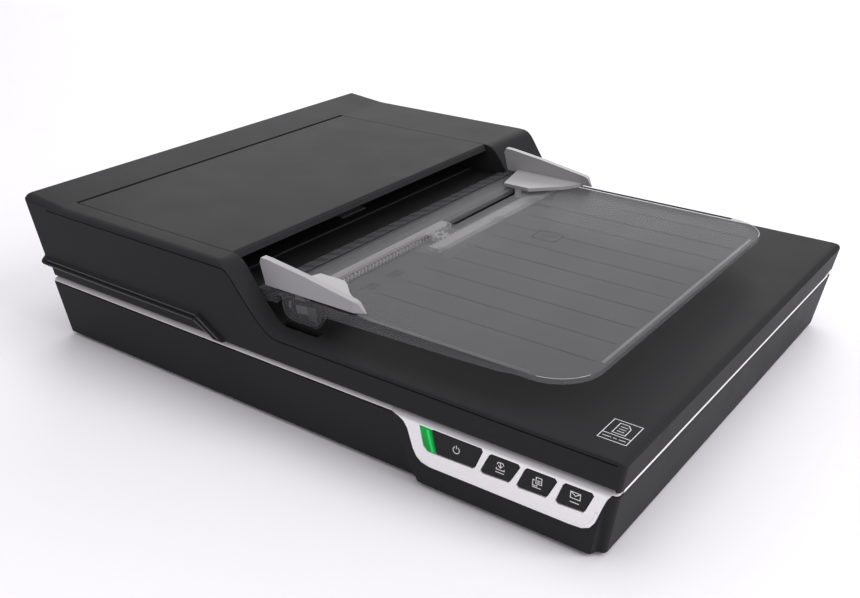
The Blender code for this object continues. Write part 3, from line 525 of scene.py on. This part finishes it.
def on_arm(u, v, height):
    """The tray's front arm: u is X and v is Z."""
    return (u, ARM_Y - height, v)


# The catch inside the arm shows through it.
draw("arm_catch_post", [[(-1.4, 62.2), (-1.4, 58.8)]], 1.6, on_arm, silver_dim, "input_tray", 0.03)
draw("arm_catch_block", [[(2.6, 59.4), (9.6, 60.2)]], 4.2, on_arm, silver_dim, "input_tray", 0.03)
draw("arm_catch_tongue", [[(12.4, 62.6), (12.4, 55.6)]], 5.4, on_arm, edge_light, "input_tray", 0.04)

# ------------------------------------------------------------------ feeder mouth

# Ribs that carry the sheets over the ramp, and the dark lines of painted shade across it.
bm = bmesh.new()
RAMP = [(-24.7, 62.3), (-24.4, 62.75), (-15.0, 64.95), (-13.4, 65.38), (-13.4, 65.2), (-14.4, 64.6)]
for index in range(22):
    y = -118.0 + index * 9.8
    extrude_view(bm, RAMP, y, y + 5.6, facing_y)
add_piece("ramp_ribs", bm, smoke, "feed_ramp", smooth=False)
across = [[(-12.9, -123.0), (-12.9, 92.0)]]
draw("ramp_line", across, 0.8, on_level(RAMP_TOP), crease, "feed_ramp", 0.04)

# A low rib runs across the mouth's floor; painted highlights run along its top and along the cover's lip
# edge.
bm = bmesh.new()
RIB = [(-45.6, 61.9), (-45.2, RIB_TOP), (-44.4, RIB_TOP), (-44.0, 61.9)]
extrude_view(bm, RIB, -124.3, 93.2, facing_y)
add_piece("mouth_rib", bm, inner, "adf_core", smooth=False)
sheen = [[(-44.6, -84.0), (-44.6, 92.0)]]
draw("mouth_rib_sheen", sheen, 0.6, on_level(RIB_TOP), edge_light, "adf_core", 0.03)
lip_edge = [[(-124.0, 77.85), (93.0, 77.85)]]
draw("cover_edge_sheen", lip_edge, 0.4, on_cover_edge, edge_light, "adf_cover", 0.04)

# ------------------------------------------------------------------ rear and underside


def vent(name, x, z, count, surface, node, length=9.0, pitch=4.0):
    """A row of upright vent slots, drawn as dark lines of painted shade."""
    slots = []
    for index in range(count):
        u = x + index * pitch
        slots.append([(u, z - length / 2), (u, z + length / 2)])
    draw(name, slots, 1.7, surface, crease, node, 0.05)


vent("rear_vents_left", -70.0, 15.0, 12, on_rear, "base_shell", 11.0)
vent("rear_vents_right", 132.0, 15.0, 6, on_rear, "base_shell", 9.0)
# Painted highlights on the rims of the rear ports.
port_rims = []
for low, high in (((58.6, 4.8), (73.4, 18.6)), ((81.6, 5.2), (94.4, 17.8))):
    rim = rounded(low[0], low[1], high[0], high[1], 1.6)
    port_rims.append(rim + rim[:1])
draw("port_rims", port_rims, 0.7, on_rear, edge_light, "base_shell", 0.12)


def underneath(u, v, height):
    return (u, v, -height)


def disc(bm, x, y, radius, low, high, surface, steps=18, hollow=0.0):
    """A round boss with a rounded rim and, where asked, a dished middle."""
    profile = [(radius, low), (radius, high - 0.15), (radius - 0.25, high)]
    if hollow:
        profile += [(hollow, high), (hollow * 0.85, high - 0.5), (hollow * 0.4, high - 0.5)]
    turns = [math.tau * k / steps for k in range(steps)]
    rings = []
    for reach, level in profile:
        ring = []
        for turn in turns:
            spot = surface(x + reach * math.cos(turn), y + reach * math.sin(turn), level)
            ring.append(bm.verts.new(place(*spot)))
        rings.append(ring)
    for lower, upper in zip(rings, rings[1:]):
        for k in range(steps):
            after = (k + 1) % steps
            bm.faces.new((lower[k], lower[after], upper[after], upper[k]))
    bm.faces.new(rings[-1])
    bm.faces.new(reversed(rings[0]))


bm = bmesh.new()
for x in (-130.0, 0.0, 130.0):
    for y in (-96.0, 96.0):
        disc(bm, x, y, 3.6, 0.0, 0.35, underneath, hollow=2.2)
add_piece("underside_screws", bm, steel, "base_shell")
# The underside panel's outline and bars drawn in painted highlight.
plate_edge = rounded(-45.0, -30.0, 45.0, 22.0, 3.0)
bars = [plate_edge + plate_edge[:1]]
for level in (-18.0, -8.0, 2.0, 12.0):
    bars.append([(-36.0, level), (36.0, level)])
draw("underside_panel", bars, 0.8, underneath, edge_light, "base_shell", 0.15)
# Vent slots underneath, drawn as dark lines of painted shade.
vents = []
for index in range(14):
    vents.append([(86.0 + index * 4.2, 48.0), (86.0 + index * 4.2, 70.0)])
draw("underside_vents", vents, 1.8, underneath, crease, "base_shell", 0.06)

# ------------------------------------------------------------------ under the lid

# Size marks and an arrow round the glass, a lamp strip on the carriage under the glass, and a seam round
# the pad's underside.
bezel_marks = [[(-149.0, -111.4), (-149.0, -114.6)], [(-149.0, 111.2), (-149.0, 114.6)]]
for x in (-64.6, -0.5, 61.0, 148.0):
    bezel_marks.append([(x, -109.9), (x, -113.6)])
for y in (-60.5, -4.0, 39.5, 101.5):
    bezel_marks.append([(-150.2, y), (-153.6, y)])
draw("size_marks", bezel_marks, 0.5, on_level(BEZEL_STEP), engraved, "bed_bezel", 0.03)
arrow = [(-151.6, -110.6), (-157.4, -110.6), (-157.4, -116.4), (-151.6, -110.6)]
draw("corner_arrow", [arrow], 0.5, on_level(BEZEL_STEP), engraved, "bed_bezel", 0.03)
bm = bmesh.new()
LAMP = arc((-154.6, 28.55), 1.1, 0, 180, 6)
extrude_view(bm, LAMP, -108.0, 108.0, facing_y)
add_piece("carriage_lamp", bm, foam, "carriage_body")
seam = rounded(-146.6, -106.2, 146.6, 106.2, 3.0)
draw("pad_seam", [seam + seam[:1]], 0.8, under_pad, acetal, "document_pad", 0.1)

# ------------------------------------------------------------------ mechanism

bm = bmesh.new()
for index in range(3):
    chip = rounded(56.0 + index * 30.0, 94.0, 72.0 + index * 30.0, 108.0, 0.8)
    extrude_view(bm, chip, 5.8, 7.4, lambda u, v, w: (u, v, w))
for index in range(6):
    part = rounded(48.0 + index * 16.0, 86.0, 52.0 + index * 16.0, 90.0, 1.2)
    extrude_view(bm, part, 5.8, 9.4, lambda u, v, w: (u, v, w))
add_piece("board_chips", bm, inner, "main_board", smooth=False)

# ------------------------------------------------------------------ stage

floor_mesh = bpy.data.meshes.new("floor")
bm = bmesh.new()
bmesh.ops.create_grid(bm, x_segments=1, y_segments=1, size=6.0)
bm.to_mesh(floor_mesh)
bm.free()
floor = bpy.data.objects.new("floor", floor_mesh)
bpy.context.scene.collection.objects.link(floor)
paper = plastic("floor_white", 0.915, 0.925, 0.6, 40.0, 0.0, 0.02, 0.2, 1.02)
floor_mesh.materials.append(paper.material)

world = bpy.data.worlds.new("studio")
bpy.context.scene.world = world
world.use_nodes = True
sky = world.node_tree.nodes["Background"]
sky.inputs["Color"].default_value = (0.985, 0.98, 1.0, 1.0)
sky.inputs["Strength"].default_value = 0.62


def area_light(name, location, target, size, power):
    light = bpy.data.lights.new(name, "AREA")
    light.shape = "RECTANGLE"
    light.size = size[0]
    light.size_y = size[1]
    light.energy = power
    obj = bpy.data.objects.new(name, light)
    obj.location = location
    away = Vector(location) - Vector(target)
    obj.rotation_euler = away.to_track_quat("Z", "Y").to_euler()
    bpy.context.scene.collection.objects.link(obj)


area_light("key_right", (1.8, 0.2, 1.3), (0, 0, 0.05), (1.2, 1.2), 22.0)
area_light("overhead", (0.2, 0.1, 2.2), (0, 0, 0.05), (1.8, 1.8), 14.0)
area_light("soft_back", (-1.3, 2.0, 1.1), (0, 0, 0.05), (2.4, 1.0), 19.0)

camera_data = bpy.data.cameras.new("camera")
camera_data.lens = 43.74
camera_data.sensor_width = 36.0
camera = bpy.data.objects.new("camera", camera_data)
camera.location = (0.3119, -0.4421, 0.2714)
camera.rotation_euler = (math.radians(64.92), 0.0, math.radians(35.9))
bpy.context.scene.collection.objects.link(camera)
bpy.context.scene.camera = camera
bpy.context.scene.view_settings.view_transform = "Standard"
